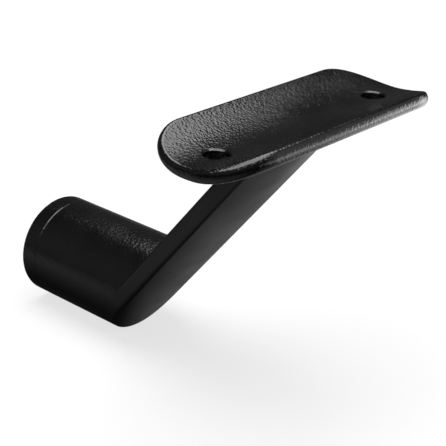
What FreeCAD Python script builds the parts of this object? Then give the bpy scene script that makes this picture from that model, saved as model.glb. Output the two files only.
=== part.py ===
import FreeCAD, Part

# Handrail bracket with a concealed wall fixing.
#
# A round post stands square off the wall, a half-round bar slopes up from its end,
# and a trough-shaped saddle on top of the bar carries the rail. The post slips over a
# spigot on a small wall disc and is held there by a grub screw from below.
#
# Frame, in millimetres: the origin is the centre of the wall face, +X runs along the
# rail, -Y points away from the wall and +Z is up.

import math
import os

import Sketcher

PARTS_FOLDER = "parts"

SIZES = (
    # alias, value, what it is
    ("post_diameter", 25.0, "round bar of the post, and the wall disc"),
    ("post_reach", 28.5, "wall to where the bar's outer crest leaves the post's underside"),
    ("disc_thickness", 5.0, "wall disc, without its spigot"),
    ("disc_rear_bevel", 0.6, "bevel around the disc at the wall"),
    ("joint_bevel", 0.2, "bevel on both edges of the joint between disc and post"),
    ("spigot_diameter", 17.0, "spigot that carries the post"),
    ("spigot_length", 11.0, "how far the spigot stands out of the disc"),
    ("spigot_clearance", 0.08, "running clearance round the spigot"),
    ("socket_end_gap", 1.0, "free space past the spigot's end"),
    ("wall_screw_hole", 5.5, "hole for the screw into the wall"),
    ("wall_screw_head", 11.0, "countersink for that screw's head"),
    ("countersink_angle", 90.0, "full angle of the countersink"),
    ("grub_diameter", 4.0, "M4 grub screw"),
    ("grub_length", 4.0, "grub screw"),
    ("grub_clearance", 0.05, "running clearance of the grub screw's thread"),
    ("grub_offset", 5.5, "joint face of the disc to the grub screw's axis"),
    ("grub_socket_width", 2.0, "hexagon socket, across its flats"),
    ("grub_socket_depth", 1.8, "hexagon socket"),
    ("grub_point_bevel", 0.5, "bevel round the grub screw's flat point"),
    ("groove_depth", 0.6, "groove round the spigot that the grub screw presses into"),
    ("groove_play", 0.15, "how much wider the groove is than the screw, each side"),
    ("bar_thickness", 6.0, "half-round bar, at its crest"),
    ("bar_crown", 2.0, "how far the crest stands above the bar's outer edges"),
    ("bar_angle", 50.5, "slope of the bar above level"),
    ("bar_outer_round", 1.2, "rounded outer edges of the bar"),
    ("bar_inner_round", 0.8, "rounded inner edges of the bar"),
    ("cope_margin", 1.2, "how far the post's end reaches past the bar's inner face, round its edges"),
    ("rail_reach", 75.0, "wall to the middle of the rail"),
    ("rail_height", 51.7, "post's axis to the bottom of the trough"),
    ("trough_radius", 21.2, "inside radius of the trough, for a round rail 42.4 thick"),
    ("saddle_length", 68.0, "saddle, along the rail"),
    ("saddle_width", 27.5, "saddle before it is bent, at the middle of its thickness"),
    ("saddle_corner", 11.5, "radius of the saddle's corners"),
    ("saddle_thickness", 3.0, "saddle plate"),
    ("saddle_rim_round", 0.8, "rounded edge inside the trough"),
    ("saddle_under_round", 1.8, "rounded edge underneath"),
    ("rail_screw_spacing", 50.0, "centre to centre of the two rail screw holes"),
    ("rail_screw_hole", 5.2, "rail screw holes"),
    ("rail_screw_bevel", 0.3, "bevel at both mouths of the rail screw holes"),
)

document = FreeCAD.newDocument("HandrailBracket")
sheet = document.addObject("Spreadsheet::Sheet", "Sizes")
for row, (alias, size, meaning) in enumerate(SIZES, start=1):
    sheet.set("A%d" % row, alias)
    sheet.set("B%d" % row, str(size))
    sheet.set("C%d" % row, meaning)
    sheet.setAlias("B%d" % row, alias)
document.recompute()

# Lengths that several pieces share, each worked out from the sheet.
POST_RADIUS = "Sizes.post_diameter / 2"
JOINT_FACE = "Sizes.disc_thickness"
SPIGOT_RADIUS = "Sizes.spigot_diameter / 2"
SPIGOT_END = "(Sizes.disc_thickness + Sizes.spigot_length)"
SOCKET_RADIUS = "(Sizes.spigot_diameter / 2 + Sizes.spigot_clearance)"
SOCKET_END = "(%s + Sizes.socket_end_gap)" % SPIGOT_END
GROOVE_FLOOR = "(Sizes.spigot_diameter / 2 - Sizes.groove_depth)"
GRUB_AXIS = "(Sizes.disc_thickness + Sizes.grub_offset)"
GROOVE_HALF = "(Sizes.grub_diameter / 2 + Sizes.groove_play)"
SLOPE = "(Sizes.bar_angle * 1 deg)"
BAR_LEAN = "(Sizes.bar_thickness / sin(%s))" % SLOPE
TROUGH_AXIS_HEIGHT = "(Sizes.rail_height + Sizes.trough_radius)"
SADDLE_UNDERSIDE = "(Sizes.trough_radius + Sizes.saddle_thickness)"
SADDLE_HALF_ANGLE = "(Sizes.saddle_width / (2 * Sizes.trough_radius + Sizes.saddle_thickness) * 1 rad)"
PAST_POST = "(2 * Sizes.post_diameter)"


def value(expression):
    """The number that an expression on the sheet gives."""
    return float(sheet.evalExpression(expression.replace("Sizes.", "")))


def origin_plane(body, role):
    """The body's own origin plane with this role."""
    for feature in body.Origin.OriginFeatures:
        if feature.Role == role:
            return feature
    raise RuntimeError("no origin plane " + role)


def new_body(label):
    """An empty body with this label."""
    body = document.addObject("PartDesign::Body", label)
    body.Label = label
    return body


def new_sketch(body, role, name):
    """A sketch on one of the body's origin planes."""
    sketch = body.newObject("Sketcher::SketchObject", name)
    sketch.AttachmentSupport = [(origin_plane(body, role), "")]
    sketch.MapMode = "FlatFace"
    return sketch


def bind(sketch, constraint, expression):
    """Adds a dimension and ties it to the sheet."""
    index = sketch.addConstraint(constraint)
    sketch.setExpression("Constraints[%d]" % index, expression)


def place_point(sketch, geometry, end, across, up):
    """Ties a point of the sketch to two expressions, measured from the sketch's origin."""
    if across == "0":
        sketch.addConstraint(Sketcher.Constraint("PointOnObject", geometry, end, -2))
    else:
        bind(sketch, Sketcher.Constraint("DistanceX", -1, 1, geometry, end, value(across)), across)
    if up == "0":
        sketch.addConstraint(Sketcher.Constraint("PointOnObject", geometry, end, -1))
    else:
        bind(sketch, Sketcher.Constraint("DistanceY", -1, 1, geometry, end, value(up)), up)


def add_path(sketch, corners, closed=True):
    """Straight lines through corners that are pairs of expressions. Returns the first line's index."""
    spots = [FreeCAD.Vector(value(across), value(up), 0) for across, up in corners]
    first = sketch.GeometryCount
    lines = len(corners) if closed else len(corners) - 1
    for step in range(lines):
        ends = (spots[step], spots[(step + 1) % len(spots)])
        sketch.addGeometry(Part.LineSegment(*ends), False)
    for step in range(lines if closed else lines - 1):
        following = first + (step + 1) % lines
        sketch.addConstraint(Sketcher.Constraint("Coincident", first + step, 2, following, 1))
    for step, (across, up) in enumerate(corners):
        if step < lines:
            place_point(sketch, first + step, 1, across, up)
        else:
            place_point(sketch, first + lines - 1, 2, across, up)
    return first


def add_circle(sketch, across, up, radius):
    """A circle whose centre and radius are expressions."""
    centre = FreeCAD.Vector(value(across), value(up), 0)
    circle = sketch.addGeometry(Part.Circle(centre, FreeCAD.Vector(0, 0, 1), value(radius)), False)
    if across == "0" and up == "0":
        sketch.addConstraint(Sketcher.Constraint("Coincident", circle, 3, -1, 1))
    else:
        place_point(sketch, circle, 3, across, up)
    bind(sketch, Sketcher.Constraint("Radius", circle, value(radius)), radius)


def add_feature(body, kind, name, sketch=None, **settings):
    """A PartDesign feature. Settings given as text are expressions, the others plain values."""
    feature = body.newObject("PartDesign::" + kind, name)
    if sketch is not None:
        feature.Profile = sketch
    for setting, content in settings.items():
        if isinstance(content, str) and setting in ("Length", "Radius", "Size"):
            feature.setExpression(setting, content)
        else:
            setattr(feature, setting, content)
    body.Tip = feature
    document.recompute()
    return feature


def revolve(body, sketch, name):
    """A full turn about the sketch's upright axis."""
    axis = (sketch, ["V_Axis"])
    return add_feature(body, "Revolution", name, sketch, ReferenceAxis=axis, Angle=360.0)


def cut_right_through(body, sketch, name):
    """A cut both ways through the whole body, checked for having removed something."""
    before = body.Shape.Volume
    cut = add_feature(body, "Pocket", name, sketch, Type="ThroughAll", SideType="Symmetric")
    if not cut.Shape.Volume < before:
        raise RuntimeError(name + " removed nothing")
    return cut


def round_edges(body, kind, name, chosen, size):
    """A fillet or chamfer on the edges of the body's tip that the test picks out."""
    base = body.Tip
    edges = []
    for number, edge in enumerate(base.Shape.Edges, start=1):
        if chosen(edge):
            edges.append("Edge%d" % number)
    if not edges:
        raise RuntimeError(name + " found no edges")
    setting = "Radius" if kind == "Fillet" else "Size"
    return add_feature(body, kind, name, Base=(base, edges), **{setting: size})


def middle(edge):
    """The point half-way along an edge."""
    return edge.valueAt((edge.FirstParameter + edge.LastParameter) / 2)


def spots_on(edge):
    """Three points along an edge, away from its ends."""
    span = edge.LastParameter - edge.FirstParameter
    return [edge.valueAt(edge.FirstParameter + span * share) for share in (0.2, 0.5, 0.8)]


def make_wall_disc():
    """Turned disc with a grooved spigot, drilled and countersunk for the wall screw."""
    body = new_body("wall_disc")
    sketch = new_sketch(body, "XY_Plane", "DiscProfile")
    hole = "Sizes.wall_screw_hole / 2"
    head = "Sizes.wall_screw_head / 2"
    sink_depth = "(%s - %s) / tan(Sizes.countersink_angle / 2 * 1 deg)" % (head, hole)
    corners = (
        (hole, "0"),
        (POST_RADIUS + " - Sizes.disc_rear_bevel", "0"),
        (POST_RADIUS, "-Sizes.disc_rear_bevel"),
        (POST_RADIUS, "-(%s - Sizes.joint_bevel)" % JOINT_FACE),
        (POST_RADIUS + " - Sizes.joint_bevel", "-" + JOINT_FACE),
        (SPIGOT_RADIUS, "-" + JOINT_FACE),
        (SPIGOT_RADIUS, "-(%s - %s)" % (GRUB_AXIS, GROOVE_HALF)),
        (GROOVE_FLOOR, "-(%s - %s)" % (GRUB_AXIS, GROOVE_HALF)),
        (GROOVE_FLOOR, "-(%s + %s)" % (GRUB_AXIS, GROOVE_HALF)),
        (SPIGOT_RADIUS, "-(%s + %s)" % (GRUB_AXIS, GROOVE_HALF)),
        (SPIGOT_RADIUS, "-" + SPIGOT_END),
        (head, "-" + SPIGOT_END),
        (hole, "-(%s - %s)" % (SPIGOT_END, sink_depth)),
    )
    add_path(sketch, corners)
    revolve(body, sketch, "DiscTurned")
    return body


def along_slope(run, depth):
    """Y and Z expressions of a point beside the bar's crest line.

    run is how far up the slope from the post's underside, depth how far into the bar.
    """
    out = "-(Sizes.post_reach + %s * cos(%s) - %s * sin(%s))" % (run, SLOPE, depth, SLOPE)
    height = "-%s + %s * sin(%s) + %s * cos(%s)" % (POST_RADIUS, run, SLOPE, depth, SLOPE)
    return out, height


def is_along(edge, direction):
    """Whether an edge is a straight line in this direction."""
    if edge.Curve.TypeId != "Part::GeomLine":
        return False
    return abs(abs(edge.Curve.Direction.dot(direction)) - 1) < 1e-9


def make_arm():
    """Half-round bar, trimmed flush with the post below and to the saddle above."""
    body = new_body("arm")
    section = new_sketch(body, "XZ_Plane", "BarSection")
    start_out, start_height = along_slope("(-%s)" % BAR_LEAN, "0")
    lean_back = FreeCAD.Rotation(FreeCAD.Vector(-1, 0, 0), value("Sizes.bar_angle"))
    section.AttachmentOffset = FreeCAD.Placement(FreeCAD.Vector(), lean_back)
    section.setExpression("AttachmentOffset.Rotation.Angle", SLOPE)
    section.setExpression("AttachmentOffset.Base.y", start_height)
    section.setExpression("AttachmentOffset.Base.z", "-(%s)" % start_out)
    corners = (
        ("-" + POST_RADIUS, "Sizes.bar_crown"),
        ("-" + POST_RADIUS, "Sizes.bar_thickness"),
        (POST_RADIUS, "Sizes.bar_thickness"),
        (POST_RADIUS, "Sizes.bar_crown"),
    )
    first = add_path(section, corners, closed=False)
    left = FreeCAD.Vector(-value(POST_RADIUS), value("Sizes.bar_crown"), 0)
    right = FreeCAD.Vector(value(POST_RADIUS), value("Sizes.bar_crown"), 0)
    crest = section.addGeometry(Part.Arc(left, FreeCAD.Vector(0, 0, 0), right), False)
    section.addConstraint(Sketcher.Constraint("Coincident", crest, 1, first, 1))
    section.addConstraint(Sketcher.Constraint("Coincident", crest, 2, first + 2, 2))
    section.addConstraint(Sketcher.Constraint("PointOnObject", -1, 1, crest))
    rise = "(Sizes.rail_height + %s + Sizes.trough_radius / 2)" % POST_RADIUS
    add_feature(body, "Pad", "BarLength", section, Length="%s + %s / sin(%s)" % (BAR_LEAN, rise, SLOPE))

    slope = math.radians(value("Sizes.bar_angle"))
    up_slope = FreeCAD.Vector(0, -math.cos(slope), math.sin(slope))
    outward = FreeCAD.Vector(0, -math.sin(slope), -math.cos(slope))
    crest_foot = FreeCAD.Vector(0, -value("Sizes.post_reach"), -value(POST_RADIUS))
    thickness = value("Sizes.bar_thickness")

    def depth(spot):
        return -(spot - crest_foot).dot(outward)

    def back_edge(edge):
        return is_along(edge, up_slope) and abs(depth(middle(edge)) - thickness) < 1e-6

    round_edges(body, "Fillet", "InnerRound", back_edge, "Sizes.bar_inner_round")

    trim = new_sketch(body, "XZ_Plane", "FlushWithPost")
    beyond = "(%s + %s)" % (POST_RADIUS, PAST_POST)
    corners = (
        (POST_RADIUS, "0"),
        (beyond, "0"),
        (beyond, "-" + beyond),
        ("-" + beyond, "-" + beyond),
        ("-" + beyond, "0"),
        ("-" + POST_RADIUS, "0"),
    )
    first = add_path(trim, corners, closed=False)
    radius = value(POST_RADIUS)
    left = FreeCAD.Vector(-radius, 0, 0)
    below = FreeCAD.Vector(0, -radius, 0)
    right = FreeCAD.Vector(radius, 0, 0)
    sweep = trim.addGeometry(Part.Arc(left, below, right), False)
    last = first + len(corners) - 2
    trim.addConstraint(Sketcher.Constraint("Coincident", sweep, 1, last, 2))
    trim.addConstraint(Sketcher.Constraint("Coincident", sweep, 2, first, 1))
    trim.addConstraint(Sketcher.Constraint("PointOnObject", sweep, 3, -1))
    cut_right_through(body, trim, "PostTrim")

    seat = new_sketch(body, "YZ_Plane", "SaddleSeat")
    add_circle(seat, "-Sizes.rail_reach", TROUGH_AXIS_HEIGHT, SADDLE_UNDERSIDE)
    cut_right_through(body, seat, "SaddleTrim")

    crown = value("Sizes.bar_crown")

    def outer_rim(edge):
        if is_along(edge, up_slope):
            return abs(depth(middle(edge)) - crown) < 1e-6
        flush = all(abs(math.hypot(spot.x, spot.z) - radius) < 1e-6 for spot in spots_on(edge))
        return flush and all(depth(spot) < crown + 1e-6 for spot in spots_on(edge)) and middle(edge).z < 0

    round_edges(body, "Fillet", "OuterRound", outer_rim, "Sizes.bar_outer_round")
    return body


def make_post(arm):
    """Round post with a socket for the spigot and an end coped over the sloping bar."""
    body = new_body("post_bar")
    outline = new_sketch(body, "XY_Plane", "PostProfile")
    far_end = "(Sizes.post_reach + Sizes.post_diameter / tan(%s))" % SLOPE
    corners = (
        (SOCKET_RADIUS, "-" + JOINT_FACE),
        (POST_RADIUS + " - Sizes.joint_bevel", "-" + JOINT_FACE),
        (POST_RADIUS, "-(%s + Sizes.joint_bevel)" % JOINT_FACE),
        (POST_RADIUS, "-" + far_end),
        ("0", "-" + far_end),
        ("0", "-" + SOCKET_END),
        (SOCKET_RADIUS, "-" + SOCKET_END),
    )
    add_path(outline, corners)
    revolve(body, outline, "PostTurned")

    slanted = new_sketch(body, "YZ_Plane", "SlantedEnd")
    cope_depth = "(Sizes.bar_thickness - Sizes.cope_margin)"
    corners = (
        along_slope("(-%s)" % PAST_POST, cope_depth),
        along_slope(PAST_POST, cope_depth),
        along_slope(PAST_POST, "(-%s)" % PAST_POST),
        along_slope("(-%s)" % PAST_POST, "(-%s)" % PAST_POST),
    )
    add_path(slanted, corners)
    cut_right_through(body, slanted, "SlantedCut")

    tapped = new_sketch(body, "XY_Plane", "GrubHole")
    add_circle(tapped, "0", "-" + GRUB_AXIS, "Sizes.grub_diameter / 2")
    before = body.Shape.Volume
    hole = add_feature(body, "Pocket", "GrubHoleCut", tapped, Type="ThroughAll")
    below = [edge for edge in hole.Shape.Edges if middle(edge).z < -value(SOCKET_RADIUS)]
    if not (hole.Shape.Volume < before and below):
        raise RuntimeError("the grub screw's hole isn't in the post's underside")

    post = document.addObject("Part::Cut", "post")
    post.Base = body
    post.Tool = arm
    post.Label = "post"
    document.recompute()
    return post


def add_trough_section(body):
    """Cross-section of the bent plate, with edges that point at the bend's axis."""
    section = new_sketch(body, "YZ_Plane", "TroughSection")
    reach = value("Sizes.rail_reach")
    axis_height = value(TROUGH_AXIS_HEIGHT)
    half_angle = math.radians(value(SADDLE_HALF_ANGLE))
    normal = FreeCAD.Vector(0, 0, 1)
    arcs = []
    for radius in ("Sizes.trough_radius", SADDLE_UNDERSIDE):
        circle = Part.Circle(FreeCAD.Vector(-reach, axis_height, 0), normal, value(radius))
        span = (-math.pi / 2 - half_angle, -math.pi / 2 + half_angle)
        arc = section.addGeometry(Part.ArcOfCircle(circle, *span), False)
        place_point(section, arc, 3, "-Sizes.rail_reach", TROUGH_AXIS_HEIGHT)
        bind(section, Sketcher.Constraint("Radius", arc, value(radius)), radius)
        for end, side in ((1, "-"), (2, "")):
            away = "%s%s * sin(%s) - Sizes.rail_reach" % (side, radius, SADDLE_HALF_ANGLE)
            point = section.getPoint(arc, end)
            bind(section, Sketcher.Constraint("DistanceX", -1, 1, arc, end, point.x), away)
        arcs.append(arc)
    inner, outer = arcs
    for end in (1, 2):
        edge = Part.LineSegment(section.getPoint(inner, end), section.getPoint(outer, end))
        line = section.addGeometry(edge, False)
        section.addConstraint(Sketcher.Constraint("Coincident", line, 1, inner, end))
        section.addConstraint(Sketcher.Constraint("Coincident", line, 2, outer, end))
    return section


def make_saddle():
    """Bent plate with rounded corners and edges, and two holes for the screws into the rail."""
    body = new_body("saddle")
    section = add_trough_section(body)
    add_feature(body, "Pad", "SaddleLength", section, Length="Sizes.saddle_length", SideType="Symmetric")
    reach = value("Sizes.rail_reach")
    axis_height = value(TROUGH_AXIS_HEIGHT)

    def is_corner(edge):
        spot = middle(edge)
        at_end = abs(abs(spot.x) - value("Sizes.saddle_length / 2")) < 1e-6
        return at_end and edge.Curve.TypeId == "Part::GeomLine"

    def edge_at(radius):
        def test(edge):
            radii = [math.hypot(spot.y + reach, spot.z - axis_height) for spot in spots_on(edge)]
            return all(abs(found - value(radius)) < 1e-4 for found in radii)

        return test

    round_edges(body, "Fillet", "Corners", is_corner, "Sizes.saddle_corner")
    round_edges(body, "Fillet", "RimRound", edge_at("Sizes.trough_radius"), "Sizes.saddle_rim_round")
    round_edges(body, "Fillet", "UnderRound", edge_at(SADDLE_UNDERSIDE), "Sizes.saddle_under_round")

    drilled = new_sketch(body, "XY_Plane", "RailScrewHoles")
    half_spacing = "Sizes.rail_screw_spacing / 2"
    hole_radius = "Sizes.rail_screw_hole / 2"
    for across in (half_spacing, "-" + half_spacing):
        add_circle(drilled, across, "-Sizes.rail_reach", hole_radius)
    cut_right_through(body, drilled, "RailScrewCut")

    def is_mouth(edge):
        if edge.Curve.TypeId == "Part::GeomLine":
            return False
        offset = value(half_spacing)
        radii = [math.hypot(abs(spot.x) - offset, spot.y + reach) for spot in spots_on(edge)]
        return all(abs(radius - value(hole_radius)) < 1e-6 for radius in radii)

    round_edges(body, "Chamfer", "HoleBevels", is_mouth, "Sizes.rail_screw_bevel")
    return body


def make_grub_screw():
    """Flat-pointed grub screw with a hexagon socket, standing on the spigot's groove."""
    body = new_body("grub_screw")
    radius = "(Sizes.grub_diameter / 2 - Sizes.grub_clearance)"
    shank = new_sketch(body, "XY_Plane", "GrubShank")
    add_circle(shank, "0", "0", radius)
    add_feature(body, "Pad", "GrubLength", shank, Length="Sizes.grub_length")

    def top(edge):
        return middle(edge).z > value("Sizes.grub_length") - 1e-6

    round_edges(body, "Chamfer", "GrubPoint", top, "Sizes.grub_point_bevel")
    socket = new_sketch(body, "XY_Plane", "GrubSocket")
    across_corners = "2 * Sizes.grub_socket_width / sqrt(3)"
    corner = value(across_corners) / 2
    spots = []
    for turn in range(6):
        angle = math.radians(60 * turn)
        spots.append(FreeCAD.Vector(corner * math.cos(angle), corner * math.sin(angle), 0))
    for turn in range(6):
        socket.addGeometry(Part.LineSegment(spots[turn], spots[(turn + 1) % 6]), False)
    ring = socket.addGeometry(Part.Circle(FreeCAD.Vector(), FreeCAD.Vector(0, 0, 1), corner), True)
    socket.addConstraint(Sketcher.Constraint("Coincident", ring, 3, -1, 1))
    bind(socket, Sketcher.Constraint("Diameter", ring, 2 * corner), across_corners)
    for turn in range(6):
        socket.addConstraint(Sketcher.Constraint("Coincident", turn, 2, (turn + 1) % 6, 1))
        socket.addConstraint(Sketcher.Constraint("PointOnObject", turn, 1, ring))
        if turn > 0:
            socket.addConstraint(Sketcher.Constraint("Equal", 0, turn))
    socket.addConstraint(Sketcher.Constraint("PointOnObject", 0, 1, -1))
    before = body.Shape.Volume
    depth = "Sizes.grub_socket_depth"
    cut = add_feature(body, "Pocket", "GrubSocketCut", socket, Length=depth, Reversed=True)
    if not cut.Shape.Volume < before:
        raise RuntimeError("the grub screw has no socket")
    body.setExpression("Placement.Base.y", "-" + GRUB_AXIS)
    body.setExpression("Placement.Base.z", "-(%s + Sizes.grub_length)" % GROOVE_FLOOR)
    document.recompute()
    return body


def main():
    """Makes every piece, checks it and writes it to its own file."""
    arm = make_arm()
    pieces = [make_wall_disc(), make_post(arm), arm, make_saddle(), make_grub_screw()]
    document.recompute()
    for item in document.Objects:
        if "Invalid" in item.State or "Error" in item.State:
            raise RuntimeError("%s: %s" % (item.Label, item.State))
    for piece in pieces:
        shape = piece.Shape
        if shape.isNull() or not shape.isValid() or len(shape.Solids) != 1:
            raise RuntimeError(piece.Label + " isn't one sound solid")
    os.makedirs(PARTS_FOLDER, exist_ok=True)
    for piece in pieces:
        piece.Shape.exportStep(os.path.join(PARTS_FOLDER, piece.Label + ".step"))
        print("%-12s %8.1f mm3" % (piece.Label, piece.Shape.Volume), piece.Shape.BoundBox)


main()
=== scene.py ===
"""Looks for a wall handrail bracket.

Satin black powder coat, a blackened grub screw, a pale studio floor, lamps and a camera.
"""

import math
from typing import NamedTuple

import bmesh
import bpy
from mathutils import Matrix, Vector


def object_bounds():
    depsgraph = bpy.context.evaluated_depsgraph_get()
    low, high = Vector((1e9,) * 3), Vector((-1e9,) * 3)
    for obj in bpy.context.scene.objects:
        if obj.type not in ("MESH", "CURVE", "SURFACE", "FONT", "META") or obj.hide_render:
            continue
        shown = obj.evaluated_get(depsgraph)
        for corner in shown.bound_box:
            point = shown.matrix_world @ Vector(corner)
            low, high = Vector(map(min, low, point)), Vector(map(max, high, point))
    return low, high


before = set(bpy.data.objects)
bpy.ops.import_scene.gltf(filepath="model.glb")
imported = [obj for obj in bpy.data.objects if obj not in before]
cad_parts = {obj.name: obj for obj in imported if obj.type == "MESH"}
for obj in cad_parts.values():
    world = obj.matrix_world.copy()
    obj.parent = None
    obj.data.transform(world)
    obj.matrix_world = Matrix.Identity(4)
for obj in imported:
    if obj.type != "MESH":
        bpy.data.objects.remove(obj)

bl_info = {
    "name": "Handrail Bracket Looks",
    "version": (1, 0, 0),
    "blender": (4, 5, 0),
    "location": "3D View > Sidebar > Bracket",
    "description": "Coats a handrail bracket, blackens its grub screw and sets it in a plain studio",
    "category": "Object",
}

MM = 0.001
CAD_BOX = [list(corner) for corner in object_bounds()]
FLOOR_GAP = 0.1 * MM
WHITE = (1.0, 1.0, 1.0, 1.0)


class Ramp(NamedTuple):
    """A value that goes evenly from its first level at the start to its last level at the end."""

    start: float
    end: float
    first: float
    last: float

    def raised(self, amount):
        """The same ramp with both levels raised."""
        return self._replace(first=self.first + amount, last=self.last + amount)

    def scaled(self, share):
        """The same ramp with both levels multiplied."""
        return self._replace(first=self.first * share, last=self.last * share)


class CoatTexture(NamedTuple):
    """How the powder coat lies on one piece. Spacing and height are shares of the coat's own bumps."""

    spacing: float
    height: float
    grit: float
    # Share of painted glints: paler grains put into the coat's colour as painted highlights.
    painted_glint: float


class Softbox(NamedTuple):
    """A rectangular lamp: its place, the point it faces, its sides in metres and its power in watts."""

    name: str
    place: tuple
    aim: tuple
    width: float
    height: float
    power: float


POST_TEXTURE = CoatTexture(spacing=1.2, height=4.0, grit=0.3, painted_glint=0.04)
ARM_TEXTURE = CoatTexture(spacing=1.0, height=0.8, grit=0.3, painted_glint=0.02)
SADDLE_TEXTURE = CoatTexture(spacing=1.0, height=3.4, grit=0.15, painted_glint=0.04)

COAT_IOR = 1.5
# Painted glints: a paler colour on some grains stands in for the highlights they would catch.
PAINTED_GLINT_COLOUR = (0.10, 0.10, 0.105, 1.0)
PAINTED_GLINT_THRESHOLD = Ramp(0.58, 0.72, 0.0, 1.0)
FINE_BUMPS_PER_BROAD = 3.1
PATCHES_PER_METRE = 95.0
PATCH_THRESHOLD = Ramp(0.32, 0.68, 0.0, 1.0)
PATCH_ROUGHNESS = Ramp(0.0, 1.0, -0.04, 0.06)

STEEL_WARMTH = (1.5, 1.35, 1.2)
STEEL_BUMPS_PER_METRE = 6000.0
STEEL_GRIT = 0.4
STEEL_BUMP_HEIGHT = 0.004 * MM
STEEL_BUMP_STRENGTH = 0.6
STEEL_ROUGHNESS = Ramp(0.3, 1.0, -0.08, 0.1)

# Brightness painted on the floor for the gloss, a painted reflection: painted shade near the bracket's
# middle, brighter floor left and right of it, a painted bright patch in front on the right as from a
# card, and a fall with the distance from the wall fixing.
FLOOR_LEFT = Ramp(-45 * MM, -14 * MM, 0.29, 0.02)
FLOOR_RIGHT = Ramp(-6 * MM, 2 * MM, 0.0, 0.16)
FLOOR_FURTHER_RIGHT = Ramp(2 * MM, 22 * MM, 0.0, 0.11)
FLOOR_FADE = Ramp(110 * MM, 240 * MM, 1.0, 0.12)
PAINTED_PATCH_ACROSS = Ramp(55 * MM, 130 * MM, 0.0, 2.0)
PAINTED_PATCH_FRONT = Ramp(-70 * MM, -20 * MM, 1.0, 0.0)

# Brightness that the gloss sees in the room, by direction. The left is a share of the
# reflected strength, and the right adds to it in front.
ROOM_LEFT = Ramp(-0.65, -0.2, 1.8, 0.7)
ROOM_RIGHT = Ramp(0.2, 0.6, 0.0, 0.5)
ROOM_FRONT = Ramp(-0.5, -0.1, 1.0, 0.0)

SOFTBOXES = (
    Softbox("Back softbox", (0.238, 0.075, 0.5), (0.238, 0.075, 0.0), 0.376, 0.45, 2.5),
    Softbox("Side softbox", (0.160, -0.150, 0.0375), (0.073, -0.100, 0.0375), 0.072, 0.095, 0.070),
    Softbox("Top softbox", (-0.255, -0.225, 0.5), (-0.255, -0.225, 0.0), 0.59, 0.65, 6.2),
    Softbox("Front softbox", (0.12, -0.355, 0.5), (0.12, -0.355, 0.0), 0.16, 0.39, 1.2),
)


# ---------------------------------------------------------------- settings


class BracketCoatSettings(bpy.types.PropertyGroup):
    """Colours and sizes of the powder coat."""

    colour: bpy.props.FloatVectorProperty(
        name="Coat colour",
        description="Colour of the powder coat",
        subtype="COLOR",
        size=3,
        min=0.0,
        max=1.0,
        default=(0.0012, 0.0012, 0.0013),
    )
    dusty_colour: bpy.props.FloatVectorProperty(
        name="Dusty colour",
        description="Paler colour that the coat drifts to in patches",
        subtype="COLOR",
        size=3,
        min=0.0,
        max=1.0,
        default=(0.0024, 0.0024, 0.0026),
    )
    post_roughness: bpy.props.FloatProperty(
        name="Post roughness",
        description="How matt the coat is on the post and the wall disc",
        subtype="FACTOR",
        min=0.0,
        max=1.0,
        default=0.20,
    )
    arm_roughness: bpy.props.FloatProperty(
        name="Arm roughness",
        description="How matt the coat is on the arm",
        subtype="FACTOR",
        min=0.0,
        max=1.0,
        default=0.34,
    )
    saddle_roughness: bpy.props.FloatProperty(
        name="Saddle roughness",
        description="How matt the coat is on the saddle",
        subtype="FACTOR",
        min=0.0,
        max=1.0,
        default=0.17,
    )
    peel_size: bpy.props.FloatProperty(
        name="Orange peel size",
        description="Distance from bump to bump in the coat",
        unit="LENGTH",
        min=0.0001,
        default=0.55 * MM,
    )
    peel_depth: bpy.props.FloatProperty(
        name="Orange peel depth",
        description="Height of the bumps in the coat",
        unit="LENGTH",
        min=0.0,
        default=0.02 * MM,
    )


class BracketSteelSettings(bpy.types.PropertyGroup):
    """Colour and finish of the blackened grub screw."""

    colour: bpy.props.FloatVectorProperty(
        name="Steel colour",
        description="Colour of the blackened steel",
        subtype="COLOR",
        size=3,
        min=0.0,
        max=1.0,
        default=(0.06, 0.06, 0.065),
    )
    roughness: bpy.props.FloatProperty(
        name="Roughness",
        description="How dull the blackened steel is",
        subtype="FACTOR",
        min=0.0,
        max=1.0,
        default=0.38,
    )


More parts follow.
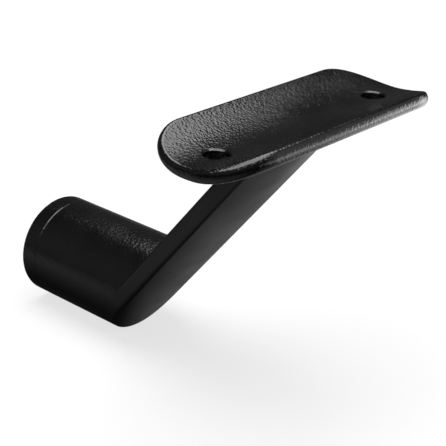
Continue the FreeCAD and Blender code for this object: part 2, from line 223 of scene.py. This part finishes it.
class BracketStageSettings(bpy.types.PropertyGroup):
    """Floor, lamps and camera of the studio."""

    floor_colour: bpy.props.FloatVectorProperty(
        name="Floor colour",
        description="Colour of the studio floor",
        subtype="COLOR",
        size=3,
        min=0.0,
        max=1.0,
        default=(0.30, 0.30, 0.30),
    )
    floor_glow: bpy.props.FloatProperty(
        name="Floor glow",
        description="Light that whitens the floor where the camera looks straight at it",
        min=0.0,
        default=0.72,
    )
    floor_width: bpy.props.FloatProperty(
        name="Floor width",
        description="Side of the square floor",
        unit="LENGTH",
        min=0.5,
        default=4.0,
    )
    world_strength: bpy.props.FloatProperty(
        name="Room light",
        description="Strength of the even light from the room",
        min=0.0,
        default=0.35,
    )
    ceiling_strength: bpy.props.FloatProperty(
        name="Ceiling light",
        description="Strength of the wide light from straight above",
        min=0.0,
        default=2.2,
    )
    ceiling_width: bpy.props.FloatProperty(
        name="Ceiling light width",
        description="Angle that the light from above fills; a wider one softens the shadow",
        subtype="ANGLE",
        min=0.0,
        default=math.radians(50.0),
    )
    reflected_strength: bpy.props.FloatProperty(
        name="Room seen in the gloss",
        description="Strength of the room where the coat mirrors it, apart from its bright front right",
        min=0.0,
        default=0.10,
    )
    azimuth: bpy.props.FloatProperty(
        name="Camera azimuth",
        description="Where the camera stands round the bracket, from the front towards the right",
        subtype="ANGLE",
        default=math.radians(-48.897),
    )
    elevation: bpy.props.FloatProperty(
        name="Camera elevation",
        description="How far the camera stands above the level of the bracket",
        subtype="ANGLE",
        default=math.radians(24.468),
    )
    roll: bpy.props.FloatProperty(
        name="Camera roll",
        description="How far the camera is turned about its own line of sight",
        subtype="ANGLE",
        default=math.radians(1.676),
    )
    distance: bpy.props.FloatProperty(
        name="Camera distance",
        description="From the camera to the point it looks at",
        unit="LENGTH",
        min=0.05,
        default=276.88 * MM,
    )
    target: bpy.props.FloatVectorProperty(
        name="Camera target",
        description="Point that the camera looks at",
        subtype="TRANSLATION",
        unit="LENGTH",
        size=3,
        default=(11.721 * MM, -45.0 * MM, 16.232 * MM),
    )
    lens: bpy.props.FloatProperty(
        name="Lens",
        description="Focal length of the camera in millimetres on a 36 mm sensor",
        unit="CAMERA",
        min=10.0,
        default=95.425,
    )


# ---------------------------------------------------------------- node helpers


def add_node(tree, kind, **inputs):
    """Adds a node and sets its named inputs."""
    node = tree.nodes.new(kind)
    for name, given in inputs.items():
        node.inputs[name.replace("_", " ")].default_value = given
    return node


def join(tree, source, target):
    """Links one socket to another."""
    tree.links.new(source, target)


def calculate(tree, operation, first, second):
    """A Math node; each operand is a socket or a number."""
    node = tree.nodes.new("ShaderNodeMath")
    node.operation = operation
    for place, operand in enumerate((first, second)):
        if isinstance(operand, (int, float)):
            node.inputs[place].default_value = operand
        else:
            join(tree, operand, node.inputs[place])
    return node.outputs[0]


def spread(tree, source, ramp):
    """A Map Range node that follows a ramp, clamped at both ends."""
    node = tree.nodes.new("ShaderNodeMapRange")
    join(tree, source, node.inputs["Value"])
    node.inputs["From Min"].default_value = ramp.start
    node.inputs["From Max"].default_value = ramp.end
    node.inputs["To Min"].default_value = ramp.first
    node.inputs["To Max"].default_value = ramp.last
    return node.outputs["Result"]


def blend_colours(tree, factor, first, second):
    """A colour Mix node; the factor and each colour may be a socket or a value."""
    node = tree.nodes.new("ShaderNodeMix")
    node.data_type = "RGBA"
    for socket, given in ((node.inputs[0], factor), (node.inputs[6], first), (node.inputs[7], second)):
        if isinstance(given, bpy.types.NodeSocket):
            join(tree, given, socket)
        else:
            socket.default_value = given
    return node.outputs[2]


def pick_shader(tree, factor, first, second):
    """A Mix Shader between two shader nodes."""
    node = tree.nodes.new("ShaderNodeMixShader")
    join(tree, factor, node.inputs["Fac"])
    join(tree, first.outputs[0], node.inputs[1])
    join(tree, second.outputs[0], node.inputs[2])
    return node


def four(colour):
    """A colour with full opacity."""
    return (*colour, 1.0)


# ---------------------------------------------------------------- shared effects


def orange_peel_group():
    """Bumps of a sprayed and baked coat: broad soft dimples with finer grit between them; also a
    painted-glint mask.
    """
    group = bpy.data.node_groups.get("Orange peel")
    if group:
        return group
    group = bpy.data.node_groups.new("Orange peel", "ShaderNodeTree")
    face = group.interface
    face.new_socket("Position", in_out="INPUT", socket_type="NodeSocketVector")
    face.new_socket("Bumps per metre", in_out="INPUT", socket_type="NodeSocketFloat")
    face.new_socket("Grit", in_out="INPUT", socket_type="NodeSocketFloat")
    face.new_socket("Height", in_out="OUTPUT", socket_type="NodeSocketFloat")
    face.new_socket("Painted glint mask", in_out="OUTPUT", socket_type="NodeSocketFloat")
    entry = group.nodes.new("NodeGroupInput")
    leave = group.nodes.new("NodeGroupOutput")

    broad = add_node(group, "ShaderNodeTexNoise", Detail=1.0, Roughness=0.4)
    join(group, entry.outputs["Position"], broad.inputs["Vector"])
    join(group, entry.outputs["Bumps per metre"], broad.inputs["Scale"])

    fine = add_node(group, "ShaderNodeTexNoise", Detail=3.0, Roughness=0.6)
    join(group, entry.outputs["Position"], fine.inputs["Vector"])
    fine_scale = calculate(group, "MULTIPLY", entry.outputs["Bumps per metre"], FINE_BUMPS_PER_BROAD)
    join(group, fine_scale, fine.inputs["Scale"])

    grit_height = calculate(group, "MULTIPLY", fine.outputs["Fac"], entry.outputs["Grit"])
    height = calculate(group, "ADD", broad.outputs["Fac"], grit_height)
    join(group, height, leave.inputs["Height"])
    # Mask of the grains that get painted glints.
    painted_glint_mask = spread(group, fine.outputs["Fac"], PAINTED_GLINT_THRESHOLD)
    join(group, painted_glint_mask, leave.inputs["Painted glint mask"])
    return group


def coat_drift_group():
    """Slow changes over the coat, from thicker and thinner spray and from handling."""
    group = bpy.data.node_groups.get("Coat drift")
    if group:
        return group
    group = bpy.data.node_groups.new("Coat drift", "ShaderNodeTree")
    face = group.interface
    face.new_socket("Position", in_out="INPUT", socket_type="NodeSocketVector")
    face.new_socket("Patches", in_out="OUTPUT", socket_type="NodeSocketFloat")
    entry = group.nodes.new("NodeGroupInput")
    leave = group.nodes.new("NodeGroupOutput")

    cloud = add_node(group, "ShaderNodeTexNoise", Scale=PATCHES_PER_METRE, Detail=3.0, Roughness=0.55)
    join(group, entry.outputs["Position"], cloud.inputs["Vector"])
    join(group, spread(group, cloud.outputs["Fac"], PATCH_THRESHOLD), leave.inputs["Patches"])
    return group


def use_group(tree, group, position):
    """Places a shared effect in a material and gives it the position."""
    node = tree.nodes.new("ShaderNodeGroup")
    node.node_tree = group
    join(tree, position, node.inputs["Position"])
    return node


# ---------------------------------------------------------------- finishes


def new_material(name):
    """An empty node material and its output node."""
    material = bpy.data.materials.new(name)
    material.use_nodes = True
    material.node_tree.nodes.clear()
    output = material.node_tree.nodes.new("ShaderNodeOutputMaterial")
    return material, material.node_tree, output


def powder_coat(name, settings, roughness, texture):
    """Satin black powder coat with orange peel, fine grit and painted glints: paler grains in the colour.
    """
    material, tree, output = new_material(name)
    place = tree.nodes.new("ShaderNodeTexCoord").outputs["Object"]

    peel = use_group(tree, orange_peel_group(), place)
    peel.inputs["Bumps per metre"].default_value = 1.0 / (settings.peel_size * texture.spacing)
    peel.inputs["Grit"].default_value = texture.grit
    drift = use_group(tree, coat_drift_group(), place)

    surface = add_node(tree, "ShaderNodeBsdfPrincipled", IOR=COAT_IOR)
    patches = drift.outputs["Patches"]
    shade = blend_colours(tree, patches, four(settings.colour), four(settings.dusty_colour))
    # Painted glints: paler grains mixed into the colour as painted highlights.
    painted_glint = calculate(tree, "MULTIPLY", peel.outputs["Painted glint mask"], texture.painted_glint)
    shade = blend_colours(tree, painted_glint, shade, PAINTED_GLINT_COLOUR)
    join(tree, shade, surface.inputs["Base Color"])

    patchy = spread(tree, patches, PATCH_ROUGHNESS.raised(roughness))
    join(tree, patchy, surface.inputs["Roughness"])

    bump = add_node(tree, "ShaderNodeBump", Strength=1.0, Distance=settings.peel_depth * texture.height)
    join(tree, peel.outputs["Height"], bump.inputs["Height"])
    join(tree, bump.outputs["Normal"], surface.inputs["Normal"])
    join(tree, surface.outputs[0], output.inputs["Surface"])
    return material


def blackened_steel(settings):
    """Blackened alloy steel of the grub screw, with a faint fine grain."""
    material, tree, output = new_material("Blackened steel")
    place = tree.nodes.new("ShaderNodeTexCoord").outputs["Object"]
    surface = add_node(tree, "ShaderNodeBsdfPrincipled", Metallic=1.0)
    drift = use_group(tree, coat_drift_group(), place)
    warm = [part * more for part, more in zip(settings.colour, STEEL_WARMTH)]
    shade = blend_colours(tree, drift.outputs["Patches"], four(settings.colour), four(warm))
    join(tree, shade, surface.inputs["Base Color"])
    peel = use_group(tree, orange_peel_group(), place)
    peel.inputs["Bumps per metre"].default_value = STEEL_BUMPS_PER_METRE
    peel.inputs["Grit"].default_value = STEEL_GRIT
    dull = spread(tree, peel.outputs["Height"], STEEL_ROUGHNESS.raised(settings.roughness))
    join(tree, dull, surface.inputs["Roughness"])
    bump = add_node(tree, "ShaderNodeBump", Strength=STEEL_BUMP_STRENGTH, Distance=STEEL_BUMP_HEIGHT)
    join(tree, peel.outputs["Height"], bump.inputs["Height"])
    join(tree, bump.outputs["Normal"], surface.inputs["Normal"])
    join(tree, surface.outputs[0], output.inputs["Surface"])
    return material


def finish_node(node, material):
    """Gives every material slot of a carried-over node the same finish."""
    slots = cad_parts[node].data.materials
    for place in range(len(slots)):
        slots[place] = material


# ---------------------------------------------------------------- studio


def floor_reflection(tree):
    """Painted brightness that the gloss sees in place of the floor, with painted shade near the bracket.
    """
    place = tree.nodes.new("ShaderNodeTexCoord").outputs["Object"]
    parts = tree.nodes.new("ShaderNodeSeparateXYZ")
    join(tree, place, parts.inputs[0])
    across, along = parts.outputs["X"], parts.outputs["Y"]
    away = tree.nodes.new("ShaderNodeVectorMath")
    away.operation = "LENGTH"
    join(tree, place, away.inputs[0])
    # Painted shade: dark next to the bracket, brighter further left and right.
    further = spread(tree, across, FLOOR_FURTHER_RIGHT)
    right = calculate(tree, "ADD", spread(tree, across, FLOOR_RIGHT), further)
    sides = calculate(tree, "ADD", spread(tree, across, FLOOR_LEFT), right)
    near = calculate(tree, "MULTIPLY", sides, spread(tree, away.outputs["Value"], FLOOR_FADE))
    # Painted bright patch in front on the right, as if a bright card stood there.
    painted_patch = calculate(tree, "MULTIPLY", spread(tree, across, PAINTED_PATCH_ACROSS), spread(tree, along, PAINTED_PATCH_FRONT))
    return calculate(tree, "ADD", near, painted_patch)


def studio_floor(settings):
    """A pale floor just under the bracket.

    The camera sees it lit, with the shadow, and whitened by a glow.
    The gloss sees a painted reflection of its own, with painted shade near the bracket.
    From below it is clear.
    """
    half = settings.floor_width / 2
    level = Matrix.Translation((0.0, 0.0, CAD_BOX[0][2] - FLOOR_GAP))
    sheet = bmesh.new()
    bmesh.ops.create_grid(sheet, x_segments=1, y_segments=1, size=half, matrix=level)
    mesh = bpy.data.meshes.new("studio_floor")
    sheet.to_mesh(mesh)
    sheet.free()
    floor = bpy.data.objects.new("studio_floor", mesh)
    bpy.context.scene.collection.objects.link(floor)

    material, tree, output = new_material("Studio floor")
    rays = tree.nodes.new("ShaderNodeLightPath")
    side = tree.nodes.new("ShaderNodeNewGeometry")
    matt = add_node(tree, "ShaderNodeBsdfDiffuse", Color=four(settings.floor_colour))
    white = add_node(tree, "ShaderNodeEmission", Strength=settings.floor_glow)
    seen = tree.nodes.new("ShaderNodeAddShader")
    join(tree, matt.outputs[0], seen.inputs[0])
    join(tree, white.outputs[0], seen.inputs[1])
    direct = pick_shader(tree, rays.outputs["Is Camera Ray"], matt, seen)
    mirrored = tree.nodes.new("ShaderNodeEmission")
    join(tree, floor_reflection(tree), mirrored.inputs["Strength"])
    above = pick_shader(tree, rays.outputs["Is Glossy Ray"], direct, mirrored)
    clear = tree.nodes.new("ShaderNodeBsdfTransparent")
    whole = pick_shader(tree, side.outputs["Backfacing"], above, clear)
    join(tree, whole.outputs[0], output.inputs["Surface"])
    mesh.materials.append(material)


def hang_softbox(box):
    """Hangs a softbox that lights the gloss alone."""
    light = bpy.data.lights.new(box.name, "AREA")
    light.shape = "RECTANGLE"
    light.size = box.width
    light.size_y = box.height
    light.energy = box.power
    lamp = bpy.data.objects.new(box.name, light)
    bpy.context.scene.collection.objects.link(lamp)
    lamp.location = box.place
    lamp.rotation_mode = "QUATERNION"
    lamp.rotation_quaternion = (Vector(box.aim) - Vector(box.place)).to_track_quat("-Z", "Y")
    lamp.visible_diffuse = False


def ceiling_light(settings):
    """Wide soft light from straight above, which throws the shadow and isn't seen in the gloss."""
    light = bpy.data.lights.new("Ceiling", "SUN")
    light.angle = settings.ceiling_width
    light.energy = settings.ceiling_strength
    lamp = bpy.data.objects.new("Ceiling", light)
    bpy.context.scene.collection.objects.link(lamp)
    lamp.location = (0.0, 0.0, 1.0)
    lamp.visible_glossy = False


def room_reflection(tree, settings):
    """The brightness that the gloss sees in each direction of the room."""
    heading = tree.nodes.new("ShaderNodeSeparateXYZ")
    join(tree, tree.nodes.new("ShaderNodeTexCoord").outputs["Generated"], heading.inputs[0])
    left = spread(tree, heading.outputs["X"], ROOM_LEFT.scaled(settings.reflected_strength))
    right = spread(tree, heading.outputs["X"], ROOM_RIGHT)
    front = spread(tree, heading.outputs["Y"], ROOM_FRONT)
    return calculate(tree, "ADD", left, calculate(tree, "MULTIPLY", right, front))


def room_light(settings):
    """Even light from all round. The camera sees a white room and the gloss a darker one."""
    world = bpy.data.worlds.new("Studio room")
    world.use_nodes = True
    tree = world.node_tree
    tree.nodes.clear()
    output = tree.nodes.new("ShaderNodeOutputWorld")
    rays = tree.nodes.new("ShaderNodeLightPath")
    lit = add_node(tree, "ShaderNodeBackground", Color=WHITE, Strength=settings.world_strength)
    mirrored = add_node(tree, "ShaderNodeBackground", Color=WHITE)
    join(tree, room_reflection(tree, settings), mirrored.inputs["Strength"])
    seen = add_node(tree, "ShaderNodeBackground", Color=WHITE, Strength=1.0)
    unseen = pick_shader(tree, rays.outputs["Is Glossy Ray"], lit, mirrored)
    whole = pick_shader(tree, rays.outputs["Is Camera Ray"], unseen, seen)
    join(tree, whole.outputs[0], output.inputs["Surface"])
    bpy.context.scene.world = world


def studio_camera(settings):
    """A camera that looks at the target from its azimuth and elevation."""
    azimuth, elevation, roll = settings.azimuth, settings.elevation, settings.roll
    back = Vector(
        (
            math.sin(azimuth) * math.cos(elevation),
            -math.cos(azimuth) * math.cos(elevation),
            math.sin(elevation),
        )
    )
    level = Vector((math.cos(azimuth), math.sin(azimuth), 0.0))
    upright = back.cross(level)
    right = level * math.cos(roll) + upright * math.sin(roll)
    up = upright * math.cos(roll) - level * math.sin(roll)
    data = bpy.data.cameras.new("Studio camera")
    data.sensor_width = 36.0
    data.lens = settings.lens
    data.clip_start = 0.01
    data.clip_end = 20.0
    camera = bpy.data.objects.new("Studio camera", data)
    bpy.context.scene.collection.objects.link(camera)
    turn = Matrix((right, up, back)).transposed().to_4x4()
    camera.matrix_world = Matrix.Translation(Vector(settings.target) + back * settings.distance) @ turn
    bpy.context.scene.camera = camera


# ---------------------------------------------------------------- operators


class BRACKET_OT_coat_post(bpy.types.Operator):
    """Coat the wall disc and the round post"""

    bl_idname = "bracket.coat_post"
    bl_label = "Coat post and disc"

    def execute(self, context):
        coat = context.scene.bracket_coat
        material = powder_coat("Powder coat, post", coat, coat.post_roughness, POST_TEXTURE)
        finish_node("wall_disc", material)
        finish_node("post", material)
        return {"FINISHED"}


class BRACKET_OT_coat_arm(bpy.types.Operator):
    """Coat the slanting arm"""

    bl_idname = "bracket.coat_arm"
    bl_label = "Coat arm"

    def execute(self, context):
        coat = context.scene.bracket_coat
        material = powder_coat("Powder coat, arm", coat, coat.arm_roughness, ARM_TEXTURE)
        finish_node("arm", material)
        return {"FINISHED"}


class BRACKET_OT_coat_saddle(bpy.types.Operator):
    """Coat the trough that holds the rail"""

    bl_idname = "bracket.coat_saddle"
    bl_label = "Coat saddle"

    def execute(self, context):
        coat = context.scene.bracket_coat
        material = powder_coat("Powder coat, saddle", coat, coat.saddle_roughness, SADDLE_TEXTURE)
        finish_node("saddle", material)
        return {"FINISHED"}


class BRACKET_OT_blacken_grub_screw(bpy.types.Operator):
    """Blacken the grub screw under the post"""

    bl_idname = "bracket.blacken_grub_screw"
    bl_label = "Blacken grub screw"

    def execute(self, context):
        finish_node("grub_screw", blackened_steel(context.scene.bracket_steel))
        return {"FINISHED"}


class BRACKET_OT_set_stage(bpy.types.Operator):
    """Lay the floor, hang the lamps and place the camera"""

    bl_idname = "bracket.set_stage"
    bl_label = "Set stage"

    def execute(self, context):
        settings = context.scene.bracket_stage
        studio_floor(settings)
        room_light(settings)
        ceiling_light(settings)
        for box in SOFTBOXES:
            hang_softbox(box)
        studio_camera(settings)
        context.scene.view_settings.view_transform = "Standard"
        return {"FINISHED"}


class BRACKET_PT_looks(bpy.types.Panel):
    """Sidebar panel with the settings and the steps"""

    bl_label = "Handrail bracket"
    bl_idname = "BRACKET_PT_looks"
    bl_space_type = "VIEW_3D"
    bl_region_type = "UI"
    bl_category = "Bracket"

    def draw(self, context):
        layout = self.layout
        for group in SETTINGS:
            box = layout.box()
            for name in SETTINGS[group].__annotations__:
                box.prop(getattr(context.scene, group), name)
        for step in STEPS:
            layout.operator(step.bl_idname)


SETTINGS = {
    "bracket_coat": BracketCoatSettings,
    "bracket_steel": BracketSteelSettings,
    "bracket_stage": BracketStageSettings,
}
STEPS = (
    BRACKET_OT_coat_post,
    BRACKET_OT_coat_arm,
    BRACKET_OT_coat_saddle,
    BRACKET_OT_blacken_grub_screw,
    BRACKET_OT_set_stage,
)
CLASSES = (*SETTINGS.values(), *STEPS, BRACKET_PT_looks)


def register():
    """Registers the settings, the steps and the panel."""
    for kind in CLASSES:
        bpy.utils.register_class(kind)
    for name, kind in SETTINGS.items():
        setattr(bpy.types.Scene, name, bpy.props.PointerProperty(type=kind))


def unregister():
    """Takes them out again."""
    for name in SETTINGS:
        delattr(bpy.types.Scene, name)
    for kind in reversed(CLASSES):
        bpy.utils.unregister_class(kind)


def main():
    """Registers the add-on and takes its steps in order."""
    register()
    bpy.ops.bracket.coat_post()
    bpy.ops.bracket.coat_arm()
    bpy.ops.bracket.coat_saddle()
    bpy.ops.bracket.blacken_grub_screw()
    bpy.ops.bracket.set_stage()


if __name__ == "__main__":
    main()
